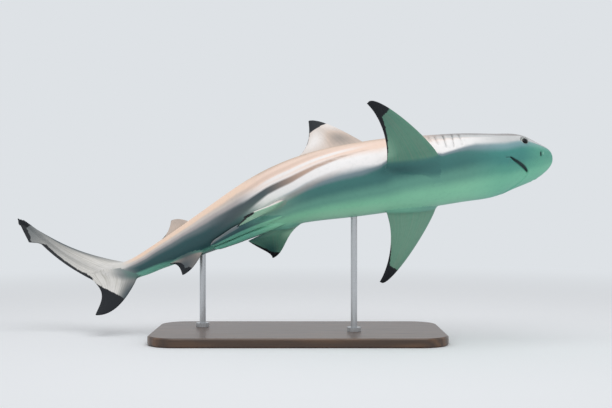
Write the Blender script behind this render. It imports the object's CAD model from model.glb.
"""Skin, eyes, stand and studio for a life-size model of a blacktip reef shark.

The fish is described straight first. "at" is the distance behind the snout, "y" is to the
fish's left and "z" is up, all as shares of the total length. The straight fish is then bent
along its spine and set on the stand, in metres, where the frame's solids are.
"""

import math

import bpy
import numpy as np
from bpy.props import FloatProperty, FloatVectorProperty, PointerProperty
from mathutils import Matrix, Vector


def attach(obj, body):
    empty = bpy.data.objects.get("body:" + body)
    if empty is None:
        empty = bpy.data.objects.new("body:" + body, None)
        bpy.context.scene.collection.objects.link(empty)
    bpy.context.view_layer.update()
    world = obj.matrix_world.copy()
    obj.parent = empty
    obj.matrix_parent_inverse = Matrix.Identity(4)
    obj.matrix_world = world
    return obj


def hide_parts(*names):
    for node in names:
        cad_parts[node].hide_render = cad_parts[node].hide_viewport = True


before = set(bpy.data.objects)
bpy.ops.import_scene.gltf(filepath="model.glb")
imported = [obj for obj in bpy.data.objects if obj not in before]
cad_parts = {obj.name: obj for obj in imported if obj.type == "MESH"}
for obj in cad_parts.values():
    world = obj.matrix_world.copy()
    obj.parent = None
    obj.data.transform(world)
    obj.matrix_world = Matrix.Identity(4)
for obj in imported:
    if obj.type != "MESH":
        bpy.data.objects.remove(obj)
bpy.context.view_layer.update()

bl_info = {
    "name": "Blacktip Reef Shark",
    "version": (1, 0, 0),
    "blender": (4, 5, 0),
    "location": "View3D > Sidebar > Shark",
    "description": "Builds the skin, eyes, stand finishes and studio of a reef shark model",
    "category": "Add Mesh",
}

# ---- the fish as a whole ----
TOTAL_LENGTH = 1.3  # metres
MM = TOTAL_LENGTH * 1000  # millimetres in one total length
YAW = 9.7  # degrees, head swung away from the front
CLIMB = 4.8  # degrees, nose up
BANK = -46.8  # degrees, belly turned to the front
PIVOT_AT = 0.33
PIVOT = np.array([0.143, -0.066, 0.362])  # metres

# ---- bends of the spine: from, to, degrees ----
SIDE_BENDS = ((0.10, 0.34, -11.1), (0.34, 0.56, -24.0), (0.56, 0.76, 6.6), (0.76, 0.96, 59.4))
RISE_BENDS = ((0.05, 0.40, -6.8), (0.40, 0.80, 6.7))
TWISTS = ((0.10, 0.55, 2.4), (0.60, 0.95, -1.5))
SPINE_STEPS = 400
SPINE_END = 1.05

# ---- body sections: at, centre, back, belly, half width, back curve, belly curve ----
SECTIONS = np.array([
    [0.0023, -0.0069, 0.0000, 0.0000, 0.0000, 2.0, 2.0],  # snout tip
    [0.0105, -0.0047, 0.0111, 0.0088, 0.0230, 2.0, 1.95],
    [0.030, -0.0032, 0.0203, 0.0199, 0.0366, 2.0, 2.15],  # nostrils
    [0.065, 0.0000, 0.0327, 0.0329, 0.0506, 2.5, 2.2],  # eyes
    [0.110, -0.0006, 0.0420, 0.0445, 0.0568, 2.05, 2.7],  # behind the mouth
    [0.160, -0.0006, 0.0500, 0.0517, 0.0597, 2.0, 2.4],  # gills
    [0.220, -0.0006, 0.0572, 0.0567, 0.0608, 1.9, 2.4],  # pectoral fins
    [0.300, 0.0000, 0.0630, 0.0600, 0.0605, 2.0, 2.2],  # first dorsal fin
    [0.380, 0.0000, 0.0632, 0.0596, 0.0568, 2.0, 2.2],
    [0.460, 0.0000, 0.0580, 0.0540, 0.0493, 2.0, 2.15],  # pelvic fins
    [0.560, 0.0000, 0.0476, 0.0446, 0.0388, 2.0, 2.1],
    [0.650, 0.0000, 0.0356, 0.0346, 0.0278, 2.0, 2.0],  # anal fin
    [0.720, -0.0010, 0.0256, 0.0256, 0.0198, 2.0, 2.0],
    [0.772, -0.0020, 0.0200, 0.0205, 0.0150, 2.0, 2.0],  # foot of the tail fin
    [0.810, 0.0080, 0.0145, 0.0150, 0.0112, 2.0, 2.0],
    [0.860, 0.0400, 0.0100, 0.0100, 0.0075, 2.0, 2.0],
    [0.920, 0.0755, 0.0065, 0.0065, 0.0048, 2.0, 2.0],
    [0.980, 0.1130, 0.0020, 0.0020, 0.0015, 2.0, 2.0],  # end of the spine
])
CENTRE, BACK, BELLY, WIDE, BACK_CURVE, BELLY_CURVE = range(1, 7)
SNOUT_TIP = SECTIONS[0, 0]  # the spine's line starts just ahead of it

# ---- fins ----
# Each edge is a row of curves, (share of the span where it ends, four handles). A handle is (at, z)
# on a middle fin, and on a paired fin its distance from the root along the chord and the span.
# "thick" is the wing section's thickness at the root, "flare" is how far the fin rounds into the body
# and "grid" is how many rows it has along the span and columns across.
# "black_line" is two points of the line beyond which the tip is black, and "margin" is the width of
# the black rear edge at shares of the span. "spots" are soft bells of light (above 0) or dusk (below
# 0): middle and width across the blade, middle and width along the span, and strength. Some of these
# are given for the left or the right fin alone. "clear" is how many times faster than usual the
# fin's own colour takes over from the body's.
# A paired fin has its root at "at", "y" and "z", and "left" and "right" are its droop, sweep and
# pitch in degrees.
FIRST_DORSAL = {
    "front": ((1, ((0.284, 0.046), (0.318, 0.092), (0.384, 0.1655), (0.4085, 0.1642))),),
    "back": (
        (0.16, ((0.412, 0.046), (0.428, 0.056), (0.443, 0.066), (0.456, 0.0700))),
        (1, ((0.456, 0.0700), (0.420, 0.078), (0.4095, 0.112), (0.4105, 0.1632))),
    ),
    "thick": 0.0135,
    "flare": 0.0090,
    "black_line": ((0.4106, 0.1308), (0.380, 0.1477)),
    "margin": ((0.3, 0.0), (0.8, 0.0010)),
    "spots": (
        (0.75, 0.45, 0.55, 0.26, 0.85), (0.28, 0.23, 0.44, 0.18, -0.74), (0.08, 0.22, 0.68, 0.20, 0.60),
    ),
    "grid": (52, 30),
}
SECOND_DORSAL = {
    "front": ((1, ((0.638, 0.026), (0.657, 0.044), (0.673, 0.0665), (0.6900, 0.0672))),),
    "back": (
        (0.2, ((0.688, 0.018), (0.699, 0.024), (0.709, 0.029), (0.7190, 0.0322))),
        (1, ((0.7190, 0.0322), (0.703, 0.038), (0.6955, 0.050), (0.6920, 0.0664))),
    ),
    "thick": 0.0070,
    "flare": 0.0045,
    "black_line": ((0.6960, 0.0660), (0.680, 0.0672)),
    "margin": ((0.15, 0.0012), (0.35, 0.0022), (0.6, 0.0)),
    "spots": ((0.10, 0.25, 0.60, 0.50, -0.20),),
    "grid": (34, 22),
}
ANAL = {
    "front": ((1, ((0.626, -0.024), (0.646, -0.052), (0.660, -0.0665), (0.6795, -0.0670))),),
    "back": (
        (0.2, ((0.680, -0.018), (0.689, -0.024), (0.698, -0.028), (0.7080, -0.0298))),
        (1, ((0.7080, -0.0298), (0.688, -0.0325), (0.684, -0.048), (0.6815, -0.0662))),
    ),
    "thick": 0.0070,
    "flare": 0.0045,
    "black_line": ((0.665, -0.0588), (0.693, -0.0462)),
    "margin": ((0.2, 0.0), (0.3, 0.0030), (0.42, 0.0070), (0.55, 0.0092), (0.8, 0.0092)),
    "spots": ((0.50, 1.20, 0.60, 0.75, -0.95),),
    "clear": 3.0,
    "grid": (34, 22),
}
UPPER_LOBE = {
    "front": ((1, ((0.774, 0.008), (0.835, 0.0545), (0.880, 0.0820), (0.9907, 0.1211))),),
    "back": (
        (0.25, ((0.790, -0.022), (0.805, -0.028), (0.820, -0.030), (0.8324, -0.0265))),
        (0.80, ((0.8324, -0.0265), (0.848, 0.004), (0.900, 0.034), (0.9440, 0.0735))),
        (0.87, ((0.9440, 0.0735), (0.950, 0.0770), (0.960, 0.0715), (0.9683, 0.0700))),
        (1, ((0.9683, 0.0700), (0.977, 0.088), (0.986, 0.106), (0.9915, 0.1203))),
    ),
    "thick": 0.0105,
    "flare": 0.0060,
    "black_line": ((0.9775, 0.1010), (0.9575, 0.1130)),
    "margin": (
        (0.25, 0.0), (0.28, 0.0046), (0.5, 0.0045), (0.78, 0.0068), (0.81, 0.001), (0.86, 0.001),
        (0.88, 0.0085),
    ),
    "spots": (
        (0.5, 2.0, 1.04, 0.36, -0.95), (0.0, 0.14, 0.55, 0.52, -0.90), (0.6, 0.5, 0.22, 0.16, 0.30),
    ),
    "grid": (92, 28),
}
LOWER_LOBE = {
    "front": ((1, ((0.758, -0.008), (0.785, -0.050), (0.813, -0.0895), (0.8485, -0.0812))),),
    "back": ((1, ((0.868, 0.018), (0.824, -0.032), (0.838, -0.048), (0.8500, -0.0800))),),
    "thick": 0.0120,
    "flare": 0.0060,
    "black_line": ((0.7990, -0.0595), (0.8314, -0.0255)),
    "margin": ((0.36, 0.0), (0.44, 0.0030), (0.8, 0.0036)),
    "spots": ((0.0, 0.30, 0.40, 0.42, -1.0), (0.6, 0.3, 0.42, 0.16, 0.40)),
    "grid": (50, 26),
}
PECTORAL = {
    "front": (
        (0.1, ((-0.006, -0.034), (-0.004, -0.027), (-0.002, -0.019), (0.0, -0.012))),
        (1, ((0.0, -0.012), (0.016, 0.0427), (0.104, 0.1455), (0.1152, 0.1262))),
    ),
    "back": (
        (0.1, ((0.056, -0.034), (0.058, -0.027), (0.060, -0.019), (0.062, -0.013))),
        (0.2, ((0.062, -0.013), (0.075, -0.011), (0.090, -0.008), (0.1027, -0.0044))),
        (1, ((0.1027, -0.0044), (0.0829, 0.0441), (0.0993, 0.1019), (0.1172, 0.1252))),
    ),
    "thick": 0.0150,
    "flare": 0.0080,
    "black_line": ((0.103, 0.094), (0.080, 0.112)),
    "margin": ((0.28, 0.0), (0.5, 0.0030), (0.68, 0.0062), (0.80, 0.0092)),
    "left_margin": ((0.52, 0.0), (0.72, 0.0040), (0.80, 0.0064)),
    "left_spots": ((0.5, 0.9, 0.40, 0.50, 0.12),),
    "right_spots": (
        (0.74, 0.48, 0.12, 0.15, -0.68), (0.5, 0.8, 0.72, 0.16, -0.16), (0.97, 0.20, 0.36, 0.18, 0.26),
    ),
    "grid": (70, 30),
    "at": 0.2011,
    "y": 0.0468,
    "z": -0.0316,
    "clear": 2.6,
    "left": (23.3, 0.4, 12.9),
    "right": (-15.9, 5.1, 2.0),
}
PELVIC = {
    "front": (
        (0.12, ((-0.006, -0.026), (-0.004, -0.021), (-0.002, -0.016), (0.0, -0.010))),
        (1, ((0.0, -0.010), (0.0338, 0.004), (0.0406, 0.0429), (0.0644, 0.0484))),
    ),
    "back": (
        (0.12, ((0.046, -0.026), (0.049, -0.021), (0.052, -0.016), (0.056, -0.011))),
        (0.24, ((0.056, -0.011), (0.068, -0.009), (0.082, -0.006), (0.0955, -0.0020))),
        (1, ((0.0955, -0.0020), (0.0823, 0.0224), (0.0635, 0.0363), (0.0664, 0.0478))),
    ),
    "thick": 0.0080,
    "flare": 0.0050,
    "black_line": ((0.072, 0.0302), (0.047, 0.0400)),
    "margin": ((0.24, 0.0028), (0.36, 0.0036), (0.60, 0.0058), (0.9, 0.0070)),
    "left_margin": ((0.25, 0.0), (0.33, 0.0030), (0.60, 0.0056), (0.9, 0.0070)),
    "left_spots": (
        (0.66, 0.42, 0.66, 0.42, -0.84), (0.02, 0.26, 0.20, 0.24, 0.62), (1.0, 0.30, 0.15, 0.12, -0.90),
    ),
    "right_spots": ((0.5, 1.0, 0.5, 0.6, 0.85),),
    "grid": (48, 26),
    "at": 0.4520,
    "y": 0.0409,
    "z": -0.0466,
    "clear": 2.6,
    "left": (9.2, 6.3, 4.3),
    "right": (37.1, -0.4, 13.1),
}
FIN_EDGE = 0.0003  # half thickness near the rims
FIN_TIP = 0.0012  # thickness kept at the tip
FIN_TAPER = 0.8  # power of the rest of the span by which a blade thins
FIN_CLEAR = 0.013  # height over the skin where a fin's own light and dusk take over from the body's
UNDERSIDE_TONE = 0.62  # the least tone of the body's colours on the paired fins' undersides

# ---- claspers: flattened rods, whose tones run around the section from the raised outer side ----
CLASPER_PATH = np.array([  # at, y, z, half width, half height
    [0.464, 0.0090, -0.0486, 0.0024, 0.0034],
    [0.520, 0.0112, -0.0490, 0.0100, 0.0056],
    [0.565, 0.0100, -0.0480, 0.0088, 0.0050],
    [0.612, 0.0062, -0.0450, 0.0044, 0.0036],
])
CLASPER_TILT = 20.0  # degrees that the outer side is raised
CLASPER_LEAN = 0.0062  # how far both swing to the fish's right
CLASPER_LEAN_BY = 0.6  # share of the length over which they swing
CLASPER_TONES = (  # degrees around the section, tone
    (0, 0.375), (30, 0.38), (60, 0.45), (110, 0.80), (140, 1.06), (235, 1.06), (262, 1.00), (284, 0.74),
    (302, 0.46), (316, 0.385), (360, 0.375),
)
CLASPER_EDGE = (0.40, 0.54)  # shares of the length between which the pale outer edge comes in
CLASPER_GROOVE = (0.14, 318, 0.30)  # share of the section, degrees around it, half width in radians
CLASPER_END = 14  # one part in this many of its length is the rounded end
CLASPER_COVERED = 0.80  # the least tone where no dark side shows
CLASPER_GRID = (52, 36)  # rings along it and points around it
CREASE = (-0.0062, 0.0030)  # dark crease by the right clasper: how far outside its edge, half width
CREASE_FROM = 0.4  # share of the clasper where the crease starts

# ---- head ----
EYE = np.array([0.0617, 0.0441, -0.0009])
EYE_RADIUS = 0.0106  # metres
EYE_FLATTEN = 0.82  # its sideways radius as a share of the others
EYE_BULGE = 0.03  # how much of that radius the front stands out
EYE_TILT = 18.0  # degrees that the eyeball looks down
EYE_GRID = (40, 72)  # rings and points around each
PUPIL_DOWN = 0.06  # how far the pupil sits under the middle, as a share of the radius
NOSTRIL_AT = 0.0323
NOSTRIL_ANGLE = 319.9  # degrees around the left side, from the widest line down
MOUTH_FRONT = 0.0550
MOUTH_CORNER = (0.0936, 0.0416)  # at, y
MOUTH_CURVE = 1.45
FURROW_END = (0.1065, 0.0440)
GILL_SLITS = (  # at, bottom, top, slant, half width in millimetres, darkness
    (0.1702, -0.0160, 0.0215, 0.04, 2.3, 0.36),
    (0.1827, -0.0195, 0.0235, 0.14, 1.5, 0.56),
    (0.1957, -0.0185, 0.0240, 0.05, 2.0, 0.54),
    (0.2082, -0.0090, 0.0225, 0.02, 1.7, 0.42),
    (0.2178, -0.0010, 0.0205, 0.00, 1.6, 0.36),
)
GILL_LEAN = 0.0006  # how far a slit's ends bow forward
PITS_AT = 0.7665
VENT_AT = 0.4920

# ---- stretches of the fish in which each small form is worked out ----
NOSTRIL_REACH = (0.018, 0.048)
EYE_REACH = (0.030, 0.100)
MOUTH_REACH = (0.038, 0.125)
GILL_REACH = (0.150, 0.235)
REAR_REACH = (0.45, 1.0)

# ---- mouth: a pair is for the left, where it is shut, and for the right, where it is ajar ----
AJAR = (0.003, 0.008)  # y where it starts to be ajar, and over what width
CORNER_FADE = (1.15, 0.25)  # shares of the lips where the full depth ends, and over what stretch
FURROW_FADE = (2.0, 0.4)
GROOVE_WIDTH = (0.9, 1.5)  # millimetres, half the groove before the gap is added
GROOVE_DEPTH = (0.3, 1.2)  # millimetres
CORNER_DEPTH = (0.5, 3.0)  # millimetres more, as far as the corner
GROOVE_SHADE = (0.54, 0.16, 0.30)  # all along, more up to the corner, more again where ajar
UPPER_LIP = (0.6, 2.4, 2.4)  # a ridge: height, distance and half width in millimetres
LOWER_LIP = (1.3, 2.6, 1.7)
LIP_LIGHT = 0.8 / LOWER_LIP[0]  # how much each of its millimetres lightens the groove's shade
JAW_HOLLOW = (1.6, 0.0, 16.0)

# ---- other small forms of the skin, in millimetres, with ridges as above ----
WELL_DEPTH = 5.2
WELL_EDGE = (9.5, 1.3)  # radius of the eye's well, and the width of its slope
LID = (1.0, 10.6, 1.4)  # its height is a share of the lid height
LID_SHADE = (0.36, 9.6, 1.2)
BROW = (2.2, 9.0, 9.0)
SLOT_DEPTH = 3.4
SLOT_HALF = (2.5, 6.0)  # half width and half height of the nostril's slot
SLOT_SQUARE = 1.4  # how square it is
SLOT_EDGE = (18, 5)  # distance at which slot and flap end, and over what width
SLOT_RIM = (0.4, 7.0, 1.8)
FLAP = (0.7, -4.4, 1.8)
FLAP_LIGHT = 0.8 / FLAP[0]  # how much each of its millimetres lightens the slot's shade
GILL_FLAP = (0.9, -4.5, 3.6)
GILL_EDGES = (0.9, 2.2)  # half widths of a slit ahead of its bottom and behind it
GILL_ENDS = (0.14, 0.12)  # shares of the height over which its lower and upper ends fade
PIT_DEPTHS = (2.4, 0.9)  # above and below
PIT_HALF = (4.5, 9.0)  # half length and half width
VENT_DEPTH = 2.0
VENT_HALF = (11.0, 1.8)
VENT_SHADE = 0.6
CREASE_SHADE = 0.62

# ---- how finely the skin is divided ----
AROUND = 216  # points around the head and gills, half as many behind them
SNOUT_ROWS = 22
HEAD_ROWS = 104
GILL_ROWS = 88
TRUNK_ROWS = 124
SNOUT_END = 0.020
HEAD_END = 0.125
FINE_END = 0.238
BODY_END = 0.980
LIP_POINTS = 90
FURROW_POINTS = 24
REAR_EDGE_POINTS = 160
SEAM_ROUNDS = 14  # how often the skin near the seams is evened out
SEAM_SPREAD = 5  # how many rings of points around a seam take part
SEAM_REACH = 1.9  # how much of its neighbours' mean weight a point takes on
SEAM_LEAST = 0.02  # the least weight that counts
SEAM_PACE = 0.5  # share of the way to its neighbours' middle that a point moves at a time

# ---- what the skin's fields hold ----
WEDGE_UNIT = 40  # degrees in 1 of the wedge's field
MARK_LIMIT = 0.05  # the furthest distance from the black edge that is told
HEIGHT_LIMIT = 0.1  # the greatest height over the skin that is told

# ---- studio, in metres ----
CAMERA = (0.0169, -2.1381, 0.2982)
LAMP = (0.1, -0.5, 1.9)
LAMP_AIM = (0.0, 0.0, 0.35)
LAMP_SIZE = 1.6
FLOOR_RADIUS = 30.0
FLOOR_SIDES = 64
FLOOR_FADE = (0.9, 2.6)  # distances between which the floor melts into the backdrop


# ------------------------------------------------------------------ the bent fish ----

def smooth(share):
    """An even S from 0 to 1: 3 s² - 2 s³, held at its ends."""
    share = np.clip(share, 0.0, 1.0)
    return share * share * (3.0 - 2.0 * share)


def bell(distance, width):
    """A bump of height 1 that falls off as e to the minus (distance / width)²."""
    return np.exp(-((distance / width) ** 2))


def between(low, high, share):
    """From low at a share of 0 to high at 1: low + (high - low) * share."""
    return low + (high - low) * share


def ending(value, edge):
    """1 well below an end and 0 past it, with an even S over the stretch before it."""
    end, stretch = edge
    return smooth((end - value) / stretch)


def raised(distance, form):
    """A soft ridge, height * bell(distance - its place, its half width)."""
    height, place, half = form
    return height * bell(distance - place, half)


def on_left(points):
    """Points with those of the right side mirrored to the left."""
    return np.abs(points * (0, 1, 0)) + points * (1, 0, 1)


def turned(bends, at):
    """The angle passed by each distance: every bend grows by an even S over its own stretch."""
    return sum(math.radians(angle) * smooth((at - start) / (end - start)) for start, end, angle in bends)


def directions(at):
    """Forward, left and up of the spine: the heading turned aside and up, then twisted on itself."""
    side = turned(SIDE_BENDS, at)
    rise = turned(RISE_BENDS, at)
    twist = turned(TWISTS, at)[..., None]
    forward = np.stack([np.cos(rise) * np.cos(side), np.cos(rise) * np.sin(side), np.sin(rise)], -1)
    level = np.stack([-np.sin(side), np.cos(side), np.zeros_like(side)], -1)
    left = level * np.cos(twist) + np.cross(forward, level) * np.sin(twist)
    return forward, left, np.cross(forward, left)


def spine_line():
    """The spine's points, walked back from the snout in equal steps along the heading."""
    step = SPINE_END / SPINE_STEPS
    middles = (np.arange(SPINE_STEPS) + 0.5) * step
    walked = np.cumsum(-directions(middles)[0] * step, axis=0)
    return np.vstack([np.zeros((1, 3)), walked])


SPINE_POINTS = spine_line()
SPINE_AT = np.linspace(0.0, SPINE_END, SPINE_STEPS + 1)


def attitude():
    """The turn that sets the fish on its stand: bank, then climb, then yaw."""
    bank, climb, yaw = (math.radians(angle) for angle in (BANK, -CLIMB, YAW))
    c, s = math.cos(bank), math.sin(bank)
    about_x = np.array([[1, 0, 0], [0, c, -s], [0, s, c]])
    c, s = math.cos(climb), math.sin(climb)
    about_y = np.array([[c, 0, s], [0, 1, 0], [-s, 0, c]])
    c, s = math.cos(yaw), math.sin(yaw)
    about_z = np.array([[c, -s, 0], [s, c, 0], [0, 0, 1]])
    return about_z @ about_y @ about_x


ATTITUDE = attitude()


def on_stand(points):
    """Points of the bent fish in the frame's metres: shifted to the pivot, scaled and turned."""
    return (points + np.array([PIVOT_AT, 0.0, 0.0])) * TOTAL_LENGTH @ ATTITUDE.T + PIVOT


def spine_point(at):
    """The point of the spine at a distance, between the nearest two that were walked."""
    return np.stack([np.interp(at, SPINE_AT, line) for line in SPINE_POINTS.T], -1)


def bent(points):
    """Straight points carried along the spine: spine(at) + left * y + up * z."""
    at = points[..., 0]
    _, left, up = directions(at)
    return on_stand(spine_point(at) + left * points[..., 1:2] + up * points[..., 2:3])


def held(at, points):
    """Straight points held stiffly by the spine at one distance, so that they don't bend."""
    forward, left, up = directions(np.array(at))
    back = points[..., 0:1] - at
    return on_stand(spine_point(at) - forward * back + left * points[..., 1:2] + up * points[..., 2:3])


# --------------------------------------------------------------- the straight body ----

def section_value(column, at):
    """One column of the sections as a cubic through its rows, over the root of the distance from the tip."""
    roots = np.sqrt(SECTIONS[:, 0] - SNOUT_TIP)
    values = SECTIONS[:, column]
    gaps = np.diff(roots)
    slopes = np.diff(values) / gaps
    inner = (slopes[:-1] * gaps[1:] + slopes[1:] * gaps[:-1]) / (gaps[:-1] + gaps[1:])
    tangents = np.concatenate([slopes[:1], inner, slopes[-1:]])
    root = np.sqrt(np.maximum(at - SNOUT_TIP, 0.0))
    i = np.clip(np.searchsorted(roots, root, side="right") - 1, 0, len(gaps) - 1)
    u = (root - roots[i]) / gaps[i]
    start = values[i] * (1 + 2 * u) + tangents[i] * gaps[i] * u
    end = values[i + 1] * (3 - 2 * u) + tangents[i + 1] * gaps[i] * (u - 1)
    return start * (1 - u) ** 2 + end * u**2


def body_points(at, angle):
    """The bare body: a squared ellipse at each distance, whose angle runs from the left over the back."""
    c, s = np.cos(angle), np.sin(angle)
    upper = s >= 0
    tall = np.where(upper, section_value(BACK, at), section_value(BELLY, at))
    power = 2 / np.where(upper, section_value(BACK_CURVE, at), section_value(BELLY_CURVE, at))
    y = section_value(WIDE, at) * np.sign(c) * np.abs(c) ** power
    z = section_value(CENTRE, at) + tall * np.sign(s) * np.abs(s) ** power
    return np.stack(np.broadcast_arrays(at, y, z), -1)


def around_body(points):
    """Each point's degrees from the ridge of the back, down either side, and its height over the skin.

    The point's y and z are divided by the section's half sizes. Their angle is the first answer,
    and the part of the ray from the centre that lies outside the squared ellipse is the second.
    """
    at = np.clip(points[..., 0], SNOUT_TIP + 0.001, BODY_END)
    rise = points[..., 2] - section_value(CENTRE, at)
    upper = rise >= 0
    tall = np.where(upper, section_value(BACK, at), section_value(BELLY, at))
    curve = np.where(upper, section_value(BACK_CURVE, at), section_value(BELLY_CURVE, at))
    across = np.abs(points[..., 1]) / section_value(WIDE, at)
    along = np.abs(rise) / tall
    girth = np.arctan2(across ** (curve / 2), np.where(upper, 1, -1) * along ** (curve / 2))
    reach = (across**curve + along**curve) ** (1 / curve)
    height = np.hypot(points[..., 1], rise) * (1 - 1 / np.maximum(reach, 1e-3))
    return np.degrees(girth), height


def belly_height(at, y):
    """The z of the bare body's underside over a place in plan."""
    curve = section_value(BELLY_CURVE, at)
    share = np.clip(np.abs(y) / section_value(WIDE, at), 0, 0.999)
    return section_value(CENTRE, at) - section_value(BELLY, at) * (1 - share**curve) ** (1 / curve)


def mouth_line():
    """Points of the lips from the middle to the corner, at = front + reach * share^curve, and the furrow."""
    share = np.linspace(0, 1, LIP_POINTS)
    at = MOUTH_FRONT + (MOUTH_CORNER[0] - MOUTH_FRONT) * share**MOUTH_CURVE
    y = MOUTH_CORNER[1] * share
    tail = np.linspace(0, 1, FURROW_POINTS)[1:]
    at = np.concatenate([at, MOUTH_CORNER[0] + (FURROW_END[0] - MOUTH_CORNER[0]) * tail])
    y = np.concatenate([y, MOUTH_CORNER[1] + (FURROW_END[1] - MOUTH_CORNER[1]) * tail])
    return np.stack([at, y, belly_height(at, y)], -1), np.concatenate([share, 1 + tail])


def lips(points, gap):
    """Lift and shade of the mouth, in millimetres: a groove along the lips between two soft rims.

    The groove is a bell across the nearest point of the mouth line. It is widest half way to the
    corner and thins to the furrow. Behind it the lower jaw sits back and its lip stands up again.
    The mouth is a little ajar on the right, so the groove is narrower on the left. The shade is
    the groove's, less where the lower lip stands up.
    """
    line, share = mouth_line()
    apart = np.linalg.norm(on_left(points)[:, None, :] - line[None], axis=2)
    nearest = apart.argmin(axis=1)
    distance = apart.min(axis=1) * MM
    place = share[nearest]
    ajar = ending(points[:, 1], AJAR)
    behind = np.sign(points[:, 0] - line[nearest, 0])
    corner = ending(place, CORNER_FADE)
    fade = ending(place, FURROW_FADE)
    bow = np.sin(np.pi * np.clip(place, 0.04, 1)) ** 0.9
    width = between(*GROOVE_WIDTH, ajar) + gap * between(0.25, 1.0, ajar) * bow
    groove = bell(distance, width)
    lift = -groove * (between(*GROOVE_DEPTH, ajar) * fade + between(*CORNER_DEPTH, ajar) * corner)
    rear = smooth(behind * distance / 1.5 + 0.5) * corner
    lip = rear * raised(distance - width, LOWER_LIP)
    lift += (lip - rear * raised(distance, JAW_HOLLOW)) * between(0.25, 1.0, ajar)
    lift += (1 - rear) * corner * raised(distance - width, UPPER_LIP)
    always, to_corner, where_ajar = GROOVE_SHADE
    shade = groove * fade * (always + (to_corner + where_ajar * ajar) * corner) * between(0.12, 1.0, ajar)
    shade -= LIP_LIGHT * lip * between(0.2, 1.0, ajar) * (1 - groove)
    under = points[:, 2] < 0
    return lift * under, np.maximum(shade, 0) * under


def eye_axes():
    """The eyeball's forward, outward and upward lines on the straight fish's left side."""
    tilt = math.radians(EYE_TILT)
    out = np.array([0.0, math.cos(tilt), -math.sin(tilt)])
    return np.array([-1.0, 0.0, 0.0]), out, np.array([0.0, math.sin(tilt), math.cos(tilt)])


def eye_rim(points, rim):
    """Lift and shade of the skin around an eye, in millimetres.

    Distances are taken across the eyeball's outward line: a round well inside a raised lid,
    under a brow that fades upwards.
    """
    off = (on_left(points) - EYE) * MM
    ahead, out, up = (off @ axis for axis in eye_axes())
    outside = smooth((out + 6) / 8)
    radius = np.hypot(ahead / 1.03, up / 0.98)
    well = -WELL_DEPTH * ending(radius, WELL_EDGE) * outside
    lid = rim * (1.0 + 0.5 * smooth(up / 6)) * raised(radius, LID) * outside
    brow = raised(radius, BROW) * smooth(up / 8) * smooth((radius - 8) / 3)
    return well + lid + brow, raised(radius, LID_SHADE) * outside


def nostril(points):
    """Lift and shade of a nostril, in millimetres: a slot around the girth behind a small pale flap.

    The slot is a squared bell across and up, and the flap is one bell times another. Both end a
    little way from the middle, and a low ring runs around them.
    """
    middle = body_points(np.array(NOSTRIL_AT), np.array(math.radians(NOSTRIL_ANGLE)))
    beside = body_points(np.array(NOSTRIL_AT), np.array(math.radians(NOSTRIL_ANGLE + 3)))
    around = (beside - middle) / np.linalg.norm(beside - middle)
    off = (on_left(points) - middle) * MM
    up = off @ around
    back = off[:, 0] - 0.06 * up
    distance = np.linalg.norm(off, axis=1)
    half, tall = SLOT_HALF
    slot = ending(distance, SLOT_EDGE) * np.exp(-(((back / half) ** 2 + (up / tall) ** 2) ** SLOT_SQUARE))
    flap = ending(distance, SLOT_EDGE) * raised(back, FLAP) * bell(up - 0.8, 4.2)
    return flap - SLOT_DEPTH * slot + raised(distance, SLOT_RIM), slot - FLAP_LIGHT * flap


def gills(points, depth):
    """Lift and shade of the gill slits, in millimetres.

    Across each slit the skin rises gently to a flap, drops into a narrow bell and climbs out
    behind it. Each slit bows forward at its ends.
    """
    lift = np.zeros(len(points))
    shade = np.zeros(len(points))
    lower_end, upper_end = GILL_ENDS
    for at, bottom, top, slant, width, dark in GILL_SLITS:
        share = (points[:, 2] - bottom) / (top - bottom)
        bow = GILL_LEAN * (1 - 2 * np.clip(share, -0.2, 1.2)) ** 2
        across = (points[:, 0] - at + bow + slant * points[:, 2]) * MM
        window = smooth(share / lower_end) * smooth((1 - share) / upper_end)
        slit = bell(across, np.where(across < 0, *GILL_EDGES))
        lift += window * (raised(across, GILL_FLAP) - depth * slit)
        shade += window * (0.75 + 0.25 * share) * dark * bell(across - 0.4, width)
    return lift, np.clip(shade, 0, 1)


def clasper_line(share):
    """At, y, z, half width, half height and lean of a clasper: cubics through the rows of its path."""
    knots = np.linspace(0, 1, len(CLASPER_PATH))
    fits = [np.polyval(np.polyfit(knots, column, 3), share) for column in CLASPER_PATH.T]
    return (*fits, CLASPER_LEAN * smooth(share / CLASPER_LEAN_BY))


def small_forms(points):
    """Lift and shade of the pits before the tail fin and of the vent, in millimetres, and one crease.

    Pits and vent are each one bell along times one across. The crease is a bell of shade on the
    belly, which follows the right clasper's outer edge.
    """
    at, y = points[:, 0], points[:, 1]
    upper = points[:, 2] > section_value(CENTRE, at)
    pit = bell((at - PITS_AT) * MM, PIT_HALF[0]) * bell(y * MM, PIT_HALF[1])
    vent = bell((at - VENT_AT) * MM, VENT_HALF[0]) * bell(y * MM, VENT_HALF[1]) * ~upper
    share = np.linspace(0, 1, 60)
    along, aside, _, width, _, lean = clasper_line(share)
    out, half = CREASE
    outside = y + np.interp(at, along, aside + width + lean) + out
    start = along[round(CREASE_FROM * len(share))]
    reach = smooth((at - start) / 0.025) * ending(at, (along[-1] + 0.006, 0.010))
    crease = bell(outside, half) * reach * ~upper
    lift = -np.where(upper, *PIT_DEPTHS) * pit - VENT_DEPTH * vent
    return lift, np.maximum(VENT_SHADE * vent, CREASE_SHADE * crease)


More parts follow.
